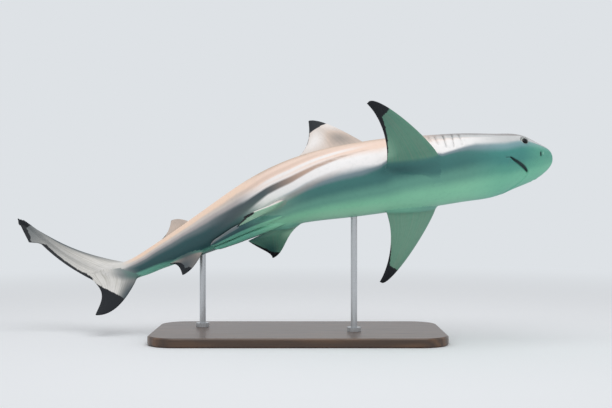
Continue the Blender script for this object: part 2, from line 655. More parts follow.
def body_relief(points, sizes):
    """How far each bare body point is moved out along its normal, and how deep in a fold it is.

    The small forms lie apart, so what each gives near its own place is added up.
    """
    lift = np.zeros(len(points))
    fold = np.zeros(len(points))
    forms = (
        (NOSTRIL_REACH, nostril, ()),
        (EYE_REACH, eye_rim, (sizes.lid_height * 1000,)),
        (MOUTH_REACH, lips, (sizes.mouth_gap * 1000,)),
        (GILL_REACH, gills, (sizes.gill_depth * 1000,)),
        (REAR_REACH, small_forms, ()),
    )
    for (start, end), form, measures in forms:
        near = (points[:, 0] > start) & (points[:, 0] < end)
        rise, shade = form(points[near], *measures)
        lift[near] += rise
        fold[near] += shade
    return lift / MM, fold


# ------------------------------------------------------------------------ markings ----

SHADE_LINE = (  # at, degrees from the ridge of the back
    (0.03, 92), (0.10, 102), (0.15, 102), (0.205, 114), (0.24, 106), (0.28, 108), (0.30, 119), (0.40, 126),
    (0.44, 132), (0.48, 144), (0.60, 140),
)
FLANK_TOP = ((0.08, 80), (0.15, 73), (0.21, 71), (0.30, 78))  # at, degrees to the top of the flank
CRISP_EDGE = ((0.15, 0.0), (0.19, 1.6), (0.28, 1.6), (0.33, 0.0))  # at, how hard the shade line is
RIGHT_SPOTS = (  # at, its width, degrees from the ridge, their width, light or dusk
    (0.285, 0.026, 127, 9, -0.50), (0.252, 0.034, 126, 9, -0.28), (0.490, 0.045, 150, 22, 0.28),
    (0.668, 0.034, 174, 18, -1.0),
)
LEFT_SPOTS = ((0.370, 0.080, 166, 14, 0.30),)
WEDGE = (  # at, degrees to its middle, half width
    (0.26, 82, -4), (0.32, 86, 0), (0.36, 90, 1.4), (0.40, 97, 3.2), (0.44, 107, 6.0), (0.48, 111, 7.0),
    (0.52, 121, 10), (0.60, 128, 18),
)
SNOUT_FADE = (0.075, 0.030)  # shares of the length between which one colouring passes into the next
HEAD_TO_TRUNK = (0.09, 0.18)
TRUNK_TO_STALK = (0.48, 0.545)
STALK_TO_TAIL = (0.755, 0.800)
FINS_TO_TAIL = (0.74, 0.80)


def countershade(at, girth, left):
    """A tone from 0 on the ridge of the back to 1 on the belly, half where the flank turns to shade.

    The degrees around the body are stretched between four levels: the ridge, the top of the
    flank, the shade line, which sinks from the head to the pelvic fins, and the belly. On the
    left side the share of the way from the shade line to the belly is raised to a lower power,
    which makes the shade narrower there. Where the edge is crisp, tones near the half are pushed
    away from it by a bell.
    """
    line = np.interp(at, *np.transpose(SHADE_LINE))
    top = np.interp(at, *np.transpose(FLANK_TOP))
    upper = 0.25 * girth / top
    flank = 0.25 + 0.25 * (girth - top) / (line - top)
    share = np.clip((girth - line) / (180.0 - line), 0, 1)
    lower = 0.5 + 0.5 * np.where(left, share**0.28, share)
    off = np.where(girth < top, upper, np.where(girth < line, flank, lower)) - 0.5
    return 0.5 + off * (1 + np.interp(at, *np.transpose(CRISP_EDGE)) * bell(off, 0.08))


def wedge(at, girth):
    """How far inside the flank's dusky wedge: its half width less the distance from its middle.

    The wedge starts as a thread and widens to the tail.
    """
    places, middles, halves = np.transpose(WEDGE)
    inside = np.interp(at, places, halves) - np.abs(girth - np.interp(at, places, middles))
    return inside / WEDGE_UNIT


def soft_spots(x, k, spots):
    """Light or dusk over two numbers of a surface: the sum of strength * bell across * bell along."""
    return sum(strength * bell(x - at_x, wide_x) * bell(k - at_k, wide_k)
               for at_x, wide_x, at_k, wide_k, strength in spots)


def body_spots(at, girth, y):
    """Light or dusk of the body's skin: the spots of each side fade out across the middle."""
    left = smooth(0.5 + y / 0.008)
    return soft_spots(at, girth, RIGHT_SPOTS) * (1 - left) + soft_spots(at, girth, LEFT_SPOTS) * left


def above_line(plan, line):
    """Signed distance of plan points from a line, positive on the fin tip's side."""
    start, end = np.array(line[0]), np.array(line[1])
    run = (end - start) / np.linalg.norm(end - start)
    off = plan - start
    return run[1] * off[..., 0] - run[0] * off[..., 1]


# ------------------------------------------------------------------------- meshes ----

class Shell:
    """A closed surface being put together: its points, its faces and its fields, two numbers each."""

    def __init__(self, points, faces, fields):
        self.points = points
        self.faces = faces
        self.fields = fields

    def volume(self):
        """The sum over fanned triangles of a · (b × c) / 6, which is positive when faces point out."""
        total = 0.0
        for group in self.faces:
            a = self.points[group[:, 0]]
            for i in range(1, group.shape[1] - 1):
                b, c = self.points[group[:, i]], self.points[group[:, i + 1]]
                total += np.einsum("ij,ij->", a, np.cross(b, c))
        return total / 6

    def mesh(self, name):
        """The shell as a smooth mesh with its faces outwards and a UV layer for each field."""
        flip = self.volume() < 0
        groups = [group[:, ::-1] if flip else group for group in self.faces if len(group)]
        corners = np.concatenate([group.ravel() for group in groups])
        sizes = np.concatenate([np.full(len(group), group.shape[1]) for group in groups])
        me = bpy.data.meshes.new(name)
        me.vertices.add(len(self.points))
        me.vertices.foreach_set("co", self.points.astype(np.float32).ravel())
        me.loops.add(len(corners))
        me.loops.foreach_set("vertex_index", corners.astype(np.int32))
        me.polygons.add(len(sizes))
        me.polygons.foreach_set("loop_start", (np.cumsum(sizes) - sizes).astype(np.int32))
        me.polygons.foreach_set("use_smooth", np.ones(len(sizes), bool))
        me.update(calc_edges=True)
        for key, values in self.fields.items():
            layer = me.uv_layers.new(name=key, do_init=False)
            layer.uv.foreach_set("vector", values[corners].astype(np.float32).ravel())
        me.validate()
        return me


def tube_faces(rows, columns, start=0):
    """Quads between neighbouring rings of equal count, numbered ring after ring."""
    row, column = np.meshgrid(np.arange(rows - 1), np.arange(columns), indexing="ij")
    near = start + row * columns
    beside = (column + 1) % columns
    quads = [near + column, near + beside, near + columns + beside, near + columns + column]
    return np.stack(quads, -1).reshape(-1, 4)


def fan_faces(ring, columns, pole, flip):
    """Triangles from a ring to one pole point."""
    here = ring + np.arange(columns)
    there = ring + (np.arange(columns) + 1) % columns
    fan = np.stack([np.full(columns, pole), there, here], -1)
    return fan[:, ::-1] if flip else fan


def closed_faces(rows, columns):
    """Faces of rings whose two poles, before the first and after the last, are the last two points."""
    pole = rows * columns
    fans = [fan_faces(0, columns, pole, False), fan_faces(pole - columns, columns, pole + 1, True)]
    return [tube_faces(rows, columns), np.concatenate(fans)]


def with_poles(grid):
    """The points or values of a grid of rings in one row, followed by the first and last ring's mean."""
    flat = grid.reshape(-1, grid.shape[-1])
    return np.concatenate([flat, grid[0].mean(0)[None], grid[-1].mean(0)[None]])


def step_faces(fine, coarse, columns):
    """Five-sided faces from a fine ring to the next ring, which has half as many points."""
    i = np.arange(columns // 2)
    middle = 2 * i + 1
    after = (2 * i + 2) % columns
    last = (i + 1) % (columns // 2)
    return np.stack([fine + 2 * i, fine + middle, fine + after, coarse + last, coarse + i], -1)


def column_angles(count):
    """Angles around the body, closer together below and at the sides, where the head has its detail.

    Their density grows by an even S from high on the sides to just under them, and each angle has
    an equal share of its sum.
    """
    angle = np.linspace(0, 2 * np.pi, 2001)
    density = 0.55 + smooth((0.45 - np.sin(angle)) / 0.9)
    share = np.concatenate([[0], np.cumsum((density[1:] + density[:-1]) / 2)])
    return np.interp(np.arange(count) / count, share / share[-1], angle)


def grid_normals(points):
    """Unit normals of a straight grid: the cross product of its slopes along and around."""
    along = np.gradient(points, axis=0)
    wrapped = np.concatenate([points[:, -1:], points, points[:, :1]], axis=1)
    around = np.gradient(wrapped, axis=1)[:, 1:-1]
    normal = np.cross(around, along)
    normal /= np.maximum(np.linalg.norm(normal, axis=2, keepdims=True), 1e-12)
    inward = (normal[..., 1:] * (points[..., 1:] - points[..., 1:].mean(1, keepdims=True))).sum(-1) < 0
    return np.where(inward[..., None], -normal, normal)


def skin_fields(at, tone, dusky=-1.0, fair=1.0, spots=0.0, fold=0.0, edge=(-MARK_LIMIT, 0), blade=(0, 0)):
    """The five fields of skin, each with two numbers at every point.

    edge is how far a point lies inside the black and how high over the body's skin, and blade is
    its share of a fin's chord and span. Skin without a fin blade leaves both out.
    """
    pairs = {
        "Tone": (tone, dusky),
        "Marks": edge,
        "Folds": (fold, at),
        "Blade": blade,
        "Side": (fair, spots),
    }
    return {name: np.stack([first + 0 * at, second + 0 * at], -1) for name, (first, second) in pairs.items()}


def body_shell(sizes):
    """The whole body from snout to the end of the spine, folded, then bent.

    Rings of the squared ellipse follow one another. Their spacing is that of a square root at
    the snout and even behind it. Behind the gills every other column goes on.
    """
    snout = SNOUT_TIP + (SNOUT_END - SNOUT_TIP) * (np.arange(1, SNOUT_ROWS + 1) / SNOUT_ROWS) ** 2
    head = np.linspace(SNOUT_END, HEAD_END, HEAD_ROWS)[1:]
    gill = np.linspace(HEAD_END, FINE_END, GILL_ROWS)[1:]
    fine_at = np.concatenate([snout, head, gill])
    coarse_at = np.linspace(FINE_END, BODY_END, TRUNK_ROWS)[1:]
    angles = column_angles(AROUND)
    grids = []
    folds = []
    for rows, columns in ((fine_at, angles), (coarse_at, angles[::2])):
        grid = body_points(rows[:, None], columns[None, :])
        lift, fold = body_relief(grid.reshape(-1, 3), sizes)
        grids.append(grid.reshape(-1, 3) + grid_normals(grid).reshape(-1, 3) * lift[:, None])
        folds.append(fold)
    tip = body_points(np.array([SNOUT_TIP]), np.array([0.0]))
    end = np.array([[BODY_END + 0.001, 0.0, section_value(CENTRE, np.array(BODY_END))]])
    points = np.concatenate([*grids, tip, end])
    fold = np.concatenate([*folds, [0.0, 0.0]])
    fine_count, half = len(grids[0]), AROUND // 2
    last_fine = fine_count - AROUND
    pole = len(points) - 2
    quads = [tube_faces(len(fine_at), AROUND), tube_faces(len(coarse_at), half, fine_count)]
    fans = [fan_faces(0, AROUND, pole, False), fan_faces(pole - half, half, pole + 1, True)]
    faces = [np.concatenate(quads), np.concatenate(fans), step_faces(last_fine, fine_count, AROUND)]
    at, y = points[:, 0], points[:, 1]
    girth, _ = around_body(points)
    tone, fair = countershade(at, girth, y > 0), smooth((girth - 80) / 40)
    spots = body_spots(at, girth, y)
    return Shell(bent(points), faces, skin_fields(at, tone, wedge(at, girth), fair, spots, fold))


# --------------------------------------------------------------------------- fins ----

def bezier(handles, share):
    """A cubic curve through the first and last handle."""
    weights = [(1 - share) ** 3, 3 * share * (1 - share) ** 2, 3 * share**2 * (1 - share), share**3]
    return sum(weight[:, None] * np.array(handle) for weight, handle in zip(weights, handles))


def edge_points(curves, share):
    """A fin's edge, made of curves that each cover a stretch of the span."""
    points = np.zeros((len(share), 2))
    start = 0.0
    for end, handles in curves:
        inside = (share >= start - 1e-9) & (share <= end + 1e-9)
        points[inside] = bezier(handles, np.clip((share[inside] - start) / (end - start), 0, 1))
        start = end
    return points


def span_shares(fin, rows):
    """Shares of the span for the rows, evenly spread between the ends of the edges' curves."""
    marks = sorted({0.0, 1.0} | {float(end) for end, _ in (*fin["front"], *fin["back"])})
    stretches = []
    for start, end in zip(marks, marks[1:]):
        count = max(4, round(rows * (end - start)))
        stretches.append(np.linspace(start, end, count + 1)[1:])
    return np.concatenate([[0.0], *stretches])


def wing(x):
    """Half thickness of a wing section of unit thickness: a root and four powers of the chord's share."""
    return 5 * (0.2969 * np.sqrt(x) - 0.126 * x - 0.3516 * x**2 + 0.2843 * x**3 - 0.1015 * x**4)


def blade_lift(fin, x, k, chord, height):
    """How far a blade's skin stands off its plan: a wing section that thins to the tip, and a flare.

    Near the rims the section keeps a small thickness. The flare is R - sqrt(R² - (R - height)²)
    below the height R over the body's skin, so that the fin rounds into the body.
    """
    thick = fin["thick"] * (1 - k) ** FIN_TAPER + FIN_TIP
    rim = FIN_EDGE * np.sqrt(np.clip(8 * x, 0, 1)) * np.sqrt(np.clip((1 - x) * chord / FIN_EDGE / 2, 0, 1))
    reach = fin["flare"]
    rise = np.clip(reach - height, 0, reach)
    flare = (reach - np.sqrt(reach**2 - rise**2)) * np.sqrt(np.clip(4 * x * (1 - x), 0, 1))
    return np.maximum(thick * wing(x), rim) + flare


def black_inside(fin, side, plan, k):
    """How far plan points lie inside the black: beyond the tip's line, or near the free rear edge."""
    free_from = fin["back"][0][0] if len(fin["back"]) > 1 else 0
    rear_edge = edge_points(fin["back"], np.linspace(free_from, 1, REAR_EDGE_POINTS))
    to_edge = np.linalg.norm(plan[:, :, None] - rear_edge[None, None], axis=3).min(axis=2)
    widths = fin["left_margin"] if side > 0 else fin["margin"]
    margin = np.interp(k, *np.transpose(widths))
    return np.maximum(above_line(plan, fin["black_line"]), margin - to_edge)


def fin_shell(fin, side, place, straight):
    """A fin as a closed blade around its flat plan.

    A plan point is (1 - x) * front edge + x * rear edge, and the blade's two skins are lifted to
    either side of it. place puts plan and lift on the stand, and straight gives the same point of
    the straight fish, for its markings. side is 1 on the left, -1 on the right and 0 in the middle.
    """
    rows, columns = fin["grid"]
    span = span_shares(fin, rows)
    front, back = edge_points(fin["front"], span)[:, None], edge_points(fin["back"], span)[:, None]
    k = span[:, None]
    x = (1 - np.cos(np.linspace(0, np.pi, columns + 1))) / 2
    x = np.concatenate([x, x[-2:0:-1]])
    sign = np.concatenate([[0.0], np.ones(columns - 1), [0.0], -np.ones(columns - 1)])
    plan = front * (1 - x)[:, None] + back * x[:, None]
    girth, height = around_body(straight(plan, np.zeros(plan.shape[:2])))
    lift = sign * blade_lift(fin, x, k, np.linalg.norm(back - front, axis=2), height)

    points = straight(plan, lift)
    at, left = points[..., 0], points[..., 1]
    tone = countershade(at, girth, left > 0)
    if side:
        tone = np.where(sign < 0, np.maximum(tone, UNDERSIDE_TONE), tone)
    veil = soft_spots(x, k, fin.get("spots") or fin["left_spots" if side > 0 else "right_spots"])
    if "clear" in fin:
        clear = smooth(height / FIN_CLEAR)
        veil = veil * clear + body_spots(at, girth, left) * (1 - clear)
    black = np.clip(black_inside(fin, side, plan, k), -MARK_LIMIT, MARK_LIMIT)
    high = np.clip(height * fin.get("clear", 1), 0, HEIGHT_LIMIT)
    fair = abs(side) * (0.5 - 0.5 * sign)
    fields = skin_fields(at, tone, wedge(at, girth), fair, veil, edge=(black, high), blade=(x, k))
    fields = {name: with_poles(values) for name, values in fields.items()}
    return Shell(with_poles(place(plan, lift)), closed_faces(*at.shape), fields)


def middle_fin(fin):
    """A fin in the fish's middle plane, bent with the body."""
    def straight(plan, lift):
        """The plan stood upright: (chord, lift, height)."""
        return np.stack([plan[..., 0], lift, plan[..., 1]], -1)

    return fin_shell(fin, 0, lambda plan, lift: bent(straight(plan, lift)), straight)


def paired_fin(fin, side):
    """A pectoral or pelvic fin: its plan swept and pitched, drooped about its root, and held stiffly."""
    droop, sweep, pitch = (math.radians(angle) for angle in fin["left" if side > 0 else "right"])

    def straight(plan, lift):
        """Three turns, of which each mixes two numbers by cos and sin, and the shift to the root."""
        chord, span = plan[..., 0], plan[..., 1]
        c = chord * math.cos(sweep) + span * math.sin(sweep)
        s = span * math.cos(sweep) - chord * math.sin(sweep)
        back = c * math.cos(pitch) + lift * math.sin(pitch)
        rise = lift * math.cos(pitch) - c * math.sin(pitch)
        y = fin["y"] + s * math.cos(droop) + rise * math.sin(droop)
        z = fin["z"] - s * math.sin(droop) + rise * math.cos(droop)
        return np.stack([fin["at"] + back, side * y, z], -1)

    return fin_shell(fin, side, lambda plan, lift: held(fin["at"], straight(plan, lift)), straight)


def clasper(side):
    """A clasper: tilted oval rings along a smooth path, with a groove along it.

    A ring is half width * cos, half height * sin, turned by the tilt. Both halves shrink by the
    root of the distance from the end, which rounds it.
    """
    rows, columns = CLASPER_GRID
    share = np.linspace(0, 1, rows)
    along, aside, up, width, height, lean = (values[:, None] for values in clasper_line(share))
    turn = np.linspace(0, 2 * np.pi, columns, endpoint=False)[None, :]
    deep, middle, half = CLASPER_GROOVE
    size = 1 - deep * bell(np.angle(np.exp(1j * (turn - math.radians(middle)))), half)
    size = size * np.sqrt(np.clip((1.002 - share) * CLASPER_END, 0, 1))[:, None]
    tilt = math.radians(CLASPER_TILT)
    out, rise = width * size * np.cos(turn), height * size * np.sin(turn)
    y = side * (aside + out * math.cos(tilt) - rise * math.sin(tilt)) - lean
    z = up + rise * math.cos(tilt) + out * math.sin(tilt)
    points = with_poles(np.stack([along + 0 * y, y, z], -1))
    tone = np.interp(np.degrees(turn), *np.transpose(CLASPER_TONES)) + 0 * y
    start, end = CLASPER_EDGE
    bare = smooth((share - start) / (end - start))[:, None] if side < 0 else 0
    tone += (1 - bare) * np.maximum(0, CLASPER_COVERED - tone)
    fields = skin_fields(points[:, 0], np.append(tone.ravel(), (1, 1)))
    return Shell(bent(points), closed_faces(rows, columns), fields)


# ------------------------------------------------------------------------ joining ----

def new_object(name, me):
    """An object in the scene that holds the given mesh, lamp or camera."""
    piece = bpy.data.objects.new(name, me)
    bpy.context.scene.collection.objects.link(piece)
    return piece


def joined(name, shells):
    """One closed skin: every shell united with the first, its seams marked by material for the blending."""
    body = new_object(name, shells[0].mesh(name))
    body.data.materials.append(bpy.data.materials.new("mark_0"))
    for number, shell in enumerate(shells[1:], 1):
        part = new_object(f"part_{number}", shell.mesh(f"part_{number}"))
        part.data.materials.append(bpy.data.materials.new(f"mark_{number}"))
        union = body.modifiers.new("join", "BOOLEAN")
        union.operation = "UNION"
        union.solver = "MANIFOLD"
        union.material_mode = "TRANSFER"
        union.object = part
        graph = bpy.context.evaluated_depsgraph_get()
        whole = bpy.data.meshes.new_from_object(body.evaluated_get(graph))
        body.modifiers.clear()
        old = body.data
        body.data = whole
        bpy.data.meshes.remove(old)
        bpy.data.objects.remove(part)
    body.data.name = name
    return body


def read(items, name, width=1, kind=np.int32):
    """One property of every point, edge, corner or face, with a row for each where it has several."""
    values = np.empty(len(items) * width, kind)
    items.foreach_get(name, values)
    return values.reshape(-1, width) if width > 1 else values


def blend_seams(me):
    """Softens the creases between united parts.

    A vertex whose faces belong to two parts has weight 1, and each ring away from it has a share
    of its neighbours' weight. Every round moves a vertex towards the mean of its neighbours by
    its weight.
    """
    count = len(me.vertices)
    corner_vertex = read(me.loops, "vertex_index")
    corner_mark = np.repeat(read(me.polygons, "material_index"), read(me.polygons, "loop_total"))
    low = np.full(count, 1000)
    high = np.full(count, -1)
    np.minimum.at(low, corner_vertex, corner_mark)
    np.maximum.at(high, corner_vertex, corner_mark)
    a, b = read(me.edges, "vertices", 2).T
    ends = np.maximum(np.bincount(a, minlength=count) + np.bincount(b, minlength=count), 1)

    def mean_of_neighbours(values):
        """The sum over the far ends of each vertex's edges, divided by their number."""
        return (np.bincount(a, values[b], count) + np.bincount(b, values[a], count)) / ends

    weight = (low != high).astype(float)
    seam = weight.copy()
    for _ in range(SEAM_SPREAD):
        weight = np.maximum(seam, np.minimum(1, SEAM_REACH * mean_of_neighbours(weight)))
    weight = np.where(weight > SEAM_LEAST, weight, 0)
    co = read(me.vertices, "co", 3, np.float32).astype(float)
    for _ in range(SEAM_ROUNDS):
        mean = np.stack([mean_of_neighbours(co[:, axis]) for axis in range(3)], -1)
        co += (mean - co) * (SEAM_PACE * weight)[:, None]
    me.vertices.foreach_set("co", co.astype(np.float32).ravel())
    me.update()


# --------------------------------------------------------------------- materials ----

def linear(colour):
    """A screen colour of 0 to 255 as the light it stands for."""
    share = np.array(colour) / 255
    light = np.where(share <= 0.04045, share / 12.92, ((share + 0.055) / 1.055) ** 2.4)
    return tuple(float(value) for value in light)


class Wire:
    """One output of a node. Arithmetic on it adds Math nodes."""

    def __init__(self, paint, socket):
        self.paint = paint
        self.socket = socket

    def beside(self, key):
        """Another output of the same node."""
        return Wire(self.paint, self.paint.find(self.socket.node.outputs, key))

    def maths(self, operation, first, second):
        """A Math node on two wires or numbers."""
        return self.paint.node("ShaderNodeMath", {"operation": operation}, {0: first, 1: second})

    def __add__(self, other):
        return self.maths("ADD", self, other)

    def __radd__(self, other):
        return self.maths("ADD", other, self)

    def __sub__(self, other):
        return self.maths("SUBTRACT", self, other)

    def __rsub__(self, other):
        return self.maths("SUBTRACT", other, self)

    def __mul__(self, other):
        return self.maths("MULTIPLY", self, other)

    def __rmul__(self, other):
        return self.maths("MULTIPLY", other, self)


class Paint:
    """The nodes of one material or world."""

    def __init__(self, owner):
        self.owner = owner
        self.owner.use_nodes = True
        self.tree = owner.node_tree
        self.tree.nodes.clear()

    def node(self, kind, settings=None, inputs=None, output=0):
        """Adds a node, sets its settings first, then its sockets, and returns one of its outputs."""
        node = self.tree.nodes.new(kind)
        for key, value in (settings or {}).items():
            if key == "stops":
                self.set_stops(node.color_ramp, value)
            else:
                setattr(node, key, value)
        for key, value in (inputs or {}).items():
            socket = self.find(node.inputs, key)
            if isinstance(value, Wire):
                self.tree.links.new(value.socket, socket)
            else:
                socket.default_value = value
        return Wire(self, self.find(node.outputs, output)) if len(node.outputs) else None

    @staticmethod
    def find(sockets, key):
        """A socket by its number, identifier or name."""
        if isinstance(key, int):
            return sockets[key]
        return next(socket for socket in sockets if key in (socket.identifier, socket.name))

    @staticmethod
    def set_stops(ramp, stops):
        """Fills a colour ramp, whose colours pass into one another in an even S."""
        ramp.interpolation = "EASE"
        while len(ramp.elements) < len(stops):
            ramp.elements.new(1.0)
        for element, (position, colour) in zip(ramp.elements, stops):
            element.position = position
            element.color = (*colour, 1)

    def field(self, name):
        """Both numbers of one of the skin's fields."""
        first = self.node("ShaderNodeSeparateXYZ", None, {"Vector": self.layer(name)}, "X")
        return first, first.beside("Y")

    def layer(self, name):
        """One of the fields as a vector."""
        return self.node("ShaderNodeUVMap", {"uv_map": name})

    def place(self):
        """The point's place in the mesh, in metres."""
        return self.node("ShaderNodeTexCoord", None, None, "Object")

    def ramp(self, value, stops):
        """A colour that follows a value through the stops."""
        return self.node("ShaderNodeValToRGB", {"stops": stops}, {"Fac": value})

    def step(self, value, low, high):
        """0 where value is at low, 1 where it is at high, with an even S between."""
        settings = {"interpolation_type": "SMOOTHSTEP"}
        return self.node("ShaderNodeMapRange", settings, {"Value": value, "From Min": low, "From Max": high})

    def window(self, value, start, full, fading, end):
        """0 up to start, 1 from full to fading, and 0 again from end."""
        return self.step(value, start, full) * self.step(value, end, fading)

    def mix(self, factor, first, second, blend="MIX"):
        """A colour between two others."""
        settings = {"data_type": "RGBA", "blend_type": blend}
        inputs = {"Factor_Float": factor}
        for key, value in (("A_Color", first), ("B_Color", second)):
            inputs[key] = value if isinstance(value, Wire) else (*value[:3], 1)
        return self.node("ShaderNodeMix", settings, inputs, "Result_Color")

    def stretched(self, vector, scale):
        """A place whose three numbers are each multiplied by a scale."""
        return self.node("ShaderNodeMapping", {"vector_type": "POINT"}, {"Vector": vector, "Scale": scale})

    def noise(self, vector, scale, detail=3.0, roughness=0.5):
        """Soft random values of about 0 to 1 with a middle of a half."""
        inputs = {"Vector": vector, "Scale": scale, "Detail": detail, "Roughness": roughness}
        return self.node("ShaderNodeTexNoise", None, inputs, "Fac")

    def bump(self, height, strength, distance, normal=None):
        """A surface roughened by a height, on top of an earlier bump where one is given."""
        inputs = {"Height": height, "Strength": strength, "Distance": distance}
        if normal is not None:
            inputs["Normal"] = normal
        return self.node("ShaderNodeBump", None, inputs, "Normal")

    def surface(self, inputs):
        """Closes the material with one principled surface."""
        shader = self.node("ShaderNodeBsdfPrincipled", None, inputs)
        self.node("ShaderNodeOutputMaterial", None, {"Surface": shader})
        return self.owner


def body_colour(paint, look, toned, along):
    """The countershading: ramps over the tone for head, trunk, tail stalk and tail, one after another."""
    trunk = paint.ramp(toned, (
        (0.00, look.back), (0.14, look.back), (0.23, look.peach), (0.28, look.peach), (0.37, look.flank),
        (0.43, look.flank), (0.52, look.dusk), (0.60, look.shade), (0.68, look.shade), (0.84, look.under),
        (1.00, look.belly),
    ))
    stalk = paint.ramp(toned, (
        (0.00, look.back), (0.12, look.stalk_top), (0.25, look.stalk_top), (0.30, look.stalk_light),
        (0.345, look.stalk), (0.39, look.stalk_dusk), (0.46, look.stalk_dark), (1.00, look.stalk_dark),
    ))
    green = paint.step(toned + paint.step(along, 0.65, 0.76) * 0.26, 0.86, 1.06)
    stalk = paint.mix(green, stalk, look.stalk_under)
    head = paint.ramp(toned, (
        (0.00, look.head_top), (0.21, look.head_top), (0.30, look.cheek_light), (0.41, look.cheek_light),
        (0.54, look.cheek_dusk), (0.64, look.cheek), (0.76, look.cheek), (0.88, look.chin),
        (1.00, look.throat),
    ))
    under_snout = paint.step(along, *SNOUT_FADE) * paint.step(toned, 0.46, 0.56)
    head = paint.mix(under_snout * 0.5, head, look.throat)
    ridge = paint.step(toned, 0.36, 0.29) * 0.09
    body = paint.mix(paint.step(along - ridge, *HEAD_TO_TRUNK), head, trunk)
    body = paint.mix(paint.step(along, *TRUNK_TO_STALK), body, stalk)
    root_shade = paint.step(toned, 0.34, 0.42) * paint.step(along, 0.850, 0.775)
    tail_root = paint.mix(root_shade * 0.85, look.tail_fin, look.stalk_dusk)
    return paint.mix(paint.step(along, *STALK_TO_TAIL), body, tail_root)


def flank_marks(paint, look, body, dusky, along, drift):
    """The flank's dusky wedge, with a pale stripe and a faint brown band beside it."""
    stripe = paint.window(dusky, -0.42, -0.30, -0.24, -0.13) * paint.window(along, 0.30, 0.38, 0.46, 0.52)
    body = paint.mix(stripe * 0.85, body, look.flank)
    band = paint.window(dusky, -0.78, -0.58, -0.50, -0.38) * paint.window(along, 0.32, 0.42, 0.50, 0.62)
    body = paint.mix(band * 0.28, body, look.wedge_thread)
    edge = paint.step(dusky * (1 - paint.step(along, 0.46, 0.56) * 0.6) + drift * 0.6, -0.07, 0.06)
    colour = paint.mix(paint.step(along, 0.41, 0.49), look.wedge_thread, look.wedge)
    return paint.mix(edge * paint.window(along, 0.26, 0.36, 0.53, 0.62), body, colour)


def fin_colour(paint, look, fair, along, streaks):
    """The fins' own colour: light above, green under the paired fins, with darker streaks along them."""
    on_tail = paint.step(along, *FINS_TO_TAIL)
    upper = paint.mix(on_tail, look.fin_top, look.tail_fin)
    fin = paint.mix(fair, upper, look.fin_under)
    return paint.mix((streaks - 0.42) * (0.9 + 0.9 * on_tail), fin, look.fin_streak)


def skin_material(look):
    """Countershaded skin with black fin tips, all worked out from the skin's own fields."""
    paint = Paint(bpy.data.materials.new("shark_skin"))
    tone, dusky = paint.field("Tone")
    black, high = paint.field("Marks")
    fold, along = paint.field("Folds")
    fair, veil = paint.field("Side")
    place = paint.place()
    soft = paint.noise(place, 14.0, 4.0)
    fine = paint.noise(place, 120.0, 4.0)
    ragged = paint.noise(place, 260.0, 2.0)
    grain = paint.noise(place, 900.0, 3.0, 0.6)
    streaks = paint.noise(paint.stretched(paint.layer("Blade"), (26.0, 2.2, 1.0)), 1.0)
    drift = (soft - 0.5) * 0.05

    body = body_colour(paint, look, tone + drift, along)
    body = flank_marks(paint, look, body, dusky, along, drift)
    fin = fin_colour(paint, look, fair, along, streaks)
    on_fin = paint.step(high + paint.step(along, 0.79, 0.85) * 0.02, 0.0005, 0.0140)
    skin = paint.mix(on_fin, body, fin)
    skin = paint.mix(veil, skin, paint.mix(fair, look.flank, look.fin_pale))
    skin = paint.mix(veil * -1.0, skin, paint.mix(fair, look.wedge, look.fin_dusk))
    tips = paint.step(black + (ragged - 0.5) * 0.0030 + (fine - 0.5) * 0.0030, -0.0006, 0.0009)
    skin = paint.mix(tips, skin, look.tips)
    skin = paint.mix((fine - 0.5) * 0.30, skin, look.shade, "MULTIPLY")
    skin = paint.mix((soft - 0.35) * 0.16, skin, look.flank, "SOFT_LIGHT")
    cells = {"Vector": place, "Scale": 300.0}
    pores = paint.node("ShaderNodeTexVoronoi", {"feature": "F1"}, cells, "Distance")
    skin = paint.mix(paint.step(pores, 0.22, 0.10) * paint.step(along, *SNOUT_FADE) * 0.45, skin, look.tips)
    skin = paint.mix(paint.step(fold, -0.15, -0.75) * 0.55, skin, look.flaps)
    skin = paint.mix(paint.step(fold, 0.15, 0.75), skin, look.folds)

    normal = paint.bump(grain * 0.5 + fine * 0.8, 0.25, 0.0006)
    rays = streaks * paint.step(high, 0.010, 0.040)
    return paint.surface({
        "Base Color": skin,
        "Roughness": 0.40 + 0.16 * soft + 0.10 * tips,
        "IOR": 1.40,
        "Coat Weight": 0.10,
        "Coat Roughness": 0.32,
        "Normal": paint.bump(rays, 0.35, 0.0016, normal),
    })


def eye_material(look):
    """A dark pupil in a pale silvery iris with fine rays, under a clear coat."""
    paint = Paint(bpy.data.materials.new("shark_eye"))
    outward, turn = paint.field("Iris")
    wobble = paint.noise(paint.place(), 900.0, 3.0)
    rays = paint.noise(paint.stretched(paint.layer("Iris"), (3.0, 90.0, 1.0)), 1.0)
    radius = outward + (wobble - 0.5) * 0.03
    iris = paint.mix(rays * paint.step(turn, -1.0, 0.0), look.iris, look.iris_streak)
    iris = paint.mix(paint.step(radius, 0.80, 0.97), iris, look.eye_rim)
    colour = paint.mix(paint.step(radius, 0.68, 0.58), iris, look.pupil)
    return paint.surface({
        "Base Color": colour,
        "Roughness": 0.20 + 0.20 * paint.step(radius, 0.58, 0.68),
        "IOR": 1.30,
        "Coat Weight": 0.15,
        "Coat Roughness": 0.04,
    })


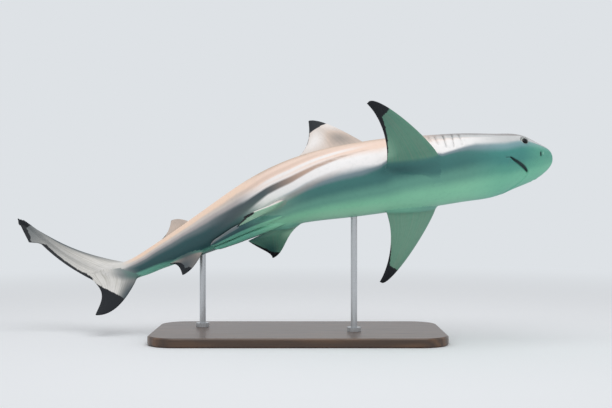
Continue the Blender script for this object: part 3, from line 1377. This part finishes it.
def wood_material(look):
    """Dark varnished wood: long rings of grain, pores along them and a satin varnish."""
    paint = Paint(bpy.data.materials.new("stand_wood"))
    place = paint.stretched(paint.place(), (1.0, 7.0, 7.0))
    warp = paint.noise(place, 3.0, 4.0)
    rings = paint.node("ShaderNodeTexWave", {"wave_type": "BANDS", "bands_direction": "Y"}, {
        "Vector": place, "Scale": 2.4, "Distortion": 7.0, "Detail": 3.0, "Detail Scale": 1.2,
    }, "Fac")
    pores = paint.noise(paint.stretched(paint.place(), (14.0, 420.0, 420.0)), 1.0, 3.0)
    wood = paint.mix(rings * 0.7 + warp * 0.3, look.wood_dark, look.wood_light)
    wood = paint.mix(paint.step(pores, 0.58, 0.72) * 0.6, wood, look.wood_pore)
    return paint.surface({
        "Base Color": wood,
        "Roughness": 0.34 + 0.18 * pores,
        "Coat Weight": 0.35,
        "Coat Roughness": 0.18,
        "Normal": paint.bump(pores * 0.5 + rings * 0.2, 0.3, 0.0006),
    })


def steel_material(look):
    """Brushed steel: fine turned lines and faint finger marks."""
    paint = Paint(bpy.data.materials.new("stand_steel"))
    lines = paint.noise(paint.stretched(paint.place(), (60.0, 60.0, 2600.0)), 1.0, 3.0)
    marks = paint.noise(paint.place(), 45.0, 3.0)
    steel = paint.mix(lines, look.steel, look.steel_bright)
    return paint.surface({
        "Base Color": steel,
        "Metallic": 1.0,
        "Roughness": 0.24 + 0.14 * lines + 0.10 * marks,
        "Normal": paint.bump(lines, 0.12, 0.0004),
    })


# ----------------------------------------------------------------------- settings ----

def colour_setting(name, description, screen):
    """A colour that a user can change, given as screen values of 0 to 255."""
    return FloatVectorProperty(
        name=name, description=description, default=linear(screen), size=3, min=0, max=1, subtype="COLOR",
    )


class SharkSkinSettings(bpy.types.PropertyGroup):
    """Folds and colours of the skin."""

    mouth_gap: FloatProperty(
        name="Mouth gap", description="How far the lips stand apart half way to the corner",
        default=0.0027, min=0, max=0.006, unit="LENGTH",
    )
    gill_depth: FloatProperty(
        name="Gill depth", description="How deep the gill slits are", default=0.0036, min=0, max=0.008,
        unit="LENGTH",
    )
    lid_height: FloatProperty(
        name="Lid height", description="How far the eyelids stand up", default=0.0009, min=0, max=0.004,
        unit="LENGTH",
    )
    head_top: colour_setting("Head, top", "Top of the head", (154, 150, 150))
    cheek_light: colour_setting("Cheek, light", "Behind the eye", (206, 208, 209))
    cheek_dusk: colour_setting("Cheek, edge", "Where the cheek turns under", (124, 164, 170))
    cheek: colour_setting("Cheek", "Under the eye", (74, 150, 142))
    chin: colour_setting("Chin", "Beside the throat", (90, 170, 150))
    throat: colour_setting("Throat", "Throat and underside of the snout", (120, 200, 168))
    back: colour_setting("Back", "Ridge of the back", (196, 170, 146))
    peach: colour_setting("Back edge", "Where the back meets the flank", (248, 221, 205))
    flank: colour_setting("Flank", "Light band of the flank", (252, 250, 250))
    dusk: colour_setting("Flank edge", "Where the flank turns under", (120, 140, 148))
    shade: colour_setting("Shade", "Under the flank", (64, 121, 117))
    under: colour_setting("Lower side", "Beside the belly", (104, 166, 148))
    belly: colour_setting("Belly", "Underside", (142, 214, 178))
    stalk_top: colour_setting("Stalk, top", "Back edge of the tail stalk", (255, 223, 199))
    stalk_light: colour_setting("Stalk, light", "Top of the tail stalk's side", (216, 206, 199))
    stalk: colour_setting("Stalk", "Upper side of the tail stalk", (178, 172, 172))
    stalk_dusk: colour_setting("Stalk edge", "Where the stalk's side darkens", (104, 118, 122))
    stalk_dark: colour_setting("Stalk, dark", "Lower side of the tail stalk", (42, 82, 86))
    stalk_under: colour_setting("Stalk, under", "Underside of the tail stalk", (108, 182, 160))
    wedge_thread: colour_setting("Wedge, front", "Start of the dusky wedge", (190, 162, 146))
    wedge: colour_setting("Wedge", "Dusky wedge before the tail", (70, 82, 88))
    tail_fin: colour_setting("Tail fin", "Blade of the tail fin", (230, 228, 224))
    fin_top: colour_setting("Fins, upper", "Upper sides of the fins", (214, 196, 184))
    fin_under: colour_setting("Fins, under", "Undersides of the paired fins", (94, 148, 126))
    fin_pale: colour_setting("Fins, pale", "Lightest parts of those undersides", (200, 250, 216))
    fin_streak: colour_setting("Fin rays", "Darker streaks along the fins", (150, 148, 136))
    fin_dusk: colour_setting("Fins, dusk", "Shaded parts of those undersides", (8, 68, 73))
    tips: colour_setting("Tips", "Black of the fin tips", (3, 11, 20))
    flaps: colour_setting("Nostril flaps", "Pale flaps in front of the nostrils", (176, 226, 208))
    folds: colour_setting("Folds", "Inside of mouth, nostrils and gills", (26, 52, 54))


class SharkEyeSettings(bpy.types.PropertyGroup):
    """Sizes and colours of the eyes."""

    pupil_ahead: FloatProperty(
        name="Pupil ahead", description="How far the pupil sits ahead of the middle", default=0.0012,
        min=-0.004, max=0.004, unit="LENGTH",
    )
    iris: colour_setting("Iris", "Silvery iris", (226, 232, 228))
    iris_streak: colour_setting("Iris rays", "Rays of the iris", (150, 158, 150))
    eye_rim: colour_setting("Rim", "Dark rim of the iris", (96, 108, 110))
    pupil: colour_setting("Pupil", "Pupil", (1, 4, 8))


class SharkStandSettings(bpy.types.PropertyGroup):
    """Colours of the stand."""

    wood_dark: colour_setting("Dark wood", "Late rings", (58, 38, 25))
    wood_light: colour_setting("Light wood", "Early rings", (104, 72, 46))
    wood_pore: colour_setting("Pores", "Pores of the wood", (32, 20, 13))
    steel: colour_setting("Steel", "Brushed steel", (176, 178, 180))
    steel_bright: colour_setting("Bright steel", "Polished lines", (214, 216, 218))


class SharkStudioSettings(bpy.types.PropertyGroup):
    """Camera, lamp and floor."""

    lens: FloatProperty(
        name="Lens", description="Focal length of the camera, millimetres", default=56.63, min=20, max=200,
    )
    key_power: FloatProperty(
        name="Key lamp", description="Power of the soft lamp overhead", default=12.5, min=0, unit="POWER",
    )
    sky_strength: FloatProperty(
        name="Room light", description="Strength of the even light all round", default=0.62, min=0, max=4,
    )
    floor: colour_setting("Floor", "Floor near the stand", (243, 246, 250))
    backdrop: colour_setting("Backdrop", "Backdrop and far floor", (222, 226, 230))


# ---------------------------------------------------------------------- operators ----

def eyeball(side, look):
    """An eyeball, flattened sideways, with a slightly bulging front.

    Its points are direction * radius with the sideways part shortened. Its field holds the
    distance from the pupil's middle, as a share of the ball, and the turn around it.
    """
    rows, columns = EYE_GRID
    tilt = np.linspace(0, np.pi, rows + 2)[1:-1, None]
    turn = np.linspace(0, 2 * np.pi, columns, endpoint=False)[None, :]
    ahead = np.sin(tilt) * np.cos(turn)
    rise = np.sin(tilt) * np.sin(turn)
    out = np.broadcast_to(np.cos(tilt), ahead.shape)
    local = np.stack([ahead, out, rise], -1).reshape(-1, 3)
    local = np.concatenate([local, [[0, 1, 0], [0, -1, 0]]])
    bulge = 1 + EYE_BULGE * smooth((local[:, 1] - 0.7) / 0.3)
    share = np.hypot(local[:, 0] - look.pupil_ahead / EYE_RADIUS, local[:, 2] + PUPIL_DOWN)
    share = np.where(local[:, 1] > 0, share, 1)
    angle = np.arctan2(local[:, 2], local[:, 0]) / np.pi
    local = local * np.stack([np.ones_like(bulge), EYE_FLATTEN * bulge, np.ones_like(bulge)], -1)
    spine = np.stack(directions(np.array(EYE[0]))) * np.array([[-1], [side], [1]])
    axes = np.stack(eye_axes()) @ spine @ ATTITUDE.T
    centre = bent(np.array([[EYE[0], side * EYE[1], EYE[2]]]))
    points = local * EYE_RADIUS @ axes + centre
    return Shell(points, closed_faces(rows, columns), {"Iris": np.stack([share, angle], -1)})


class SHARK_OT_skin(bpy.types.Operator):
    """Builds the one skin that covers the body, the fins and the claspers"""

    bl_idname = "shark.build_skin"
    bl_label = "Build skin"

    covered = (
        "head", "lower_jaw", "gill_region", "trunk_front", "trunk_rear", "tail_base", "tail_stalk",
        "caudal_upper_lobe", "caudal_lower_lobe", "first_dorsal_fin", "second_dorsal_fin", "anal_fin",
        "pectoral_fin_left", "pectoral_fin_right", "pelvic_fin_left", "pelvic_fin_right",
        "clasper_left", "clasper_right",
    )

    def execute(self, context):
        look = context.scene.shark_skin
        shells = [body_shell(look)]
        shells += [middle_fin(fin) for fin in (FIRST_DORSAL, SECOND_DORSAL, ANAL, UPPER_LOBE, LOWER_LOBE)]
        shells += [paired_fin(fin, side) for fin in (PECTORAL, PELVIC) for side in (1, -1)]
        shells += [clasper(side) for side in (1, -1)]
        skin = joined("shark_skin", shells)
        blend_seams(skin.data)
        skin.data.materials.clear()
        skin.data.materials.append(skin_material(look))
        skin.data.polygons.foreach_set("material_index", np.zeros(len(skin.data.polygons), np.int32))
        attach(skin, "root")
        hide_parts(*self.covered)
        return {"FINISHED"}


class SHARK_OT_eyes(bpy.types.Operator):
    """Builds both eyeballs"""

    bl_idname = "shark.build_eyes"
    bl_label = "Build eyes"

    def execute(self, context):
        look = context.scene.shark_eyes
        material = eye_material(look)
        for word, side in (("left", 1), ("right", -1)):
            name = f"eyeball_{word}"
            eye = new_object(name, eyeball(side, look).mesh(name))
            eye.data.materials.append(material)
            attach(eye, "root")
            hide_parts(f"eye_{word}")
        return {"FINISHED"}


class SHARK_OT_stand(bpy.types.Operator):
    """Finishes the base in wood and the rods and collars in brushed steel"""

    bl_idname = "shark.finish_stand"
    bl_label = "Finish stand"

    def execute(self, context):
        look = context.scene.shark_stand
        wood, steel = wood_material(look), steel_material(look)
        for name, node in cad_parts.items():
            if name.startswith("stand_"):
                material = wood if name == "stand_base" else steel
                node.data.materials.clear()
                node.data.materials.append(material)
        return {"FINISHED"}


class SHARK_OT_studio(bpy.types.Operator):
    """Sets the camera, the soft lamp, the room light and the pale floor"""

    bl_idname = "shark.set_studio"
    bl_label = "Set studio"

    def execute(self, context):
        look = context.scene.shark_studio
        scene = context.scene
        scene.view_settings.view_transform = "Standard"
        view = bpy.data.cameras.new("camera")
        view.lens = look.lens
        camera = new_object("camera", view)
        camera.location = CAMERA
        camera.rotation_euler = (math.radians(90), 0, 0)
        scene.camera = camera
        self.lamp(look)
        self.room(scene, look)
        self.floor(look)
        return {"FINISHED"}

    def lamp(self, look):
        """One wide soft lamp overhead, a little in front of the model."""
        light = bpy.data.lights.new("key", "AREA")
        light.energy = look.key_power
        light.size = LAMP_SIZE
        lamp = new_object("key", light)
        lamp.location = LAMP
        lamp.rotation_euler = (Vector(LAMP_AIM) - Vector(LAMP)).to_track_quat("-Z", "Y").to_euler()

    def seen(self, paint):
        """1 on rays that the camera, a mirror or glass sends out."""
        camera = paint.node("ShaderNodeLightPath", None, None, "Is Camera Ray")
        either = camera + camera.beside("Is Glossy Ray") + camera.beside("Is Transmission Ray")
        return paint.step(either, 0.0, 1.0)

    def room(self, scene, look):
        """Even light all round, and the backdrop's colour wherever it is seen."""
        paint = Paint(bpy.data.worlds.new("room"))
        glow = {"Color": (1, 1, 1, 1), "Strength": look.sky_strength}
        light = paint.node("ShaderNodeBackground", None, glow)
        backdrop = paint.node("ShaderNodeBackground", None, {"Color": (*look.backdrop, 1)})
        both = paint.node("ShaderNodeMixShader", None, {0: self.seen(paint), 1: light, 2: backdrop})
        paint.node("ShaderNodeOutputWorld", None, {"Surface": both})
        scene.world = paint.owner

    def floor(self, look):
        """A wide round floor, pale and matt near the stand and melting into the backdrop further out."""
        turn = np.linspace(0, 2 * np.pi, FLOOR_SIDES, endpoint=False)
        points = FLOOR_RADIUS * np.stack([np.cos(turn), np.sin(turn), 0 * turn], -1)
        me = bpy.data.meshes.new("floor")
        me.from_pydata(points.tolist(), [], [list(range(FLOOR_SIDES))])
        floor = new_object("floor", me)
        paint = Paint(bpy.data.materials.new("floor"))
        middle = paint.node("ShaderNodeVectorMath", {"operation": "LENGTH"}, {0: paint.place()}, "Value")
        matt = paint.node("ShaderNodeBsdfDiffuse", None, {"Color": (*look.floor, 1)})
        glow = paint.node("ShaderNodeEmission", None, {"Color": (*look.backdrop, 1)})
        far = paint.step(middle, *FLOOR_FADE) * self.seen(paint)
        shader = paint.node("ShaderNodeMixShader", None, {0: far, 1: matt, 2: glow})
        paint.node("ShaderNodeOutputMaterial", None, {"Surface": shader})
        floor.data.materials.append(paint.owner)


class SHARK_PT_panel(bpy.types.Panel):
    """Sizes, colours and buttons of the shark model"""

    bl_idname = "SHARK_PT_panel"
    bl_label = "Blacktip Reef Shark"
    bl_space_type = "VIEW_3D"
    bl_region_type = "UI"
    bl_category = "Shark"

    def draw(self, context):
        scene = context.scene
        groups = (
            (scene.shark_skin, SHARK_OT_skin),
            (scene.shark_eyes, SHARK_OT_eyes),
            (scene.shark_stand, SHARK_OT_stand),
            (scene.shark_studio, SHARK_OT_studio),
        )
        for settings, operator in groups:
            box = self.layout.box()
            for name in settings.__annotations__:
                box.prop(settings, name)
            box.operator(operator.bl_idname)


SETTINGS = {
    "shark_skin": SharkSkinSettings,
    "shark_eyes": SharkEyeSettings,
    "shark_stand": SharkStandSettings,
    "shark_studio": SharkStudioSettings,
}
OPERATORS = (SHARK_OT_studio, SHARK_OT_skin, SHARK_OT_eyes, SHARK_OT_stand)


def register():
    """Makes the settings, buttons and panel known."""
    for name, group in SETTINGS.items():
        bpy.utils.register_class(group)
        setattr(bpy.types.Scene, name, PointerProperty(type=group))
    for cls in (*OPERATORS, SHARK_PT_panel):
        bpy.utils.register_class(cls)


def unregister():
    """Takes them away again."""
    for cls in (SHARK_PT_panel, *reversed(OPERATORS)):
        bpy.utils.unregister_class(cls)
    for name, group in SETTINGS.items():
        delattr(bpy.types.Scene, name)
        bpy.utils.unregister_class(group)


def main():
    """Builds the studio and the shark."""
    register()
    bpy.ops.shark.set_studio()
    bpy.ops.shark.build_skin()
    bpy.ops.shark.build_eyes()
    bpy.ops.shark.finish_stand()


if __name__ == "__main__":
    main()
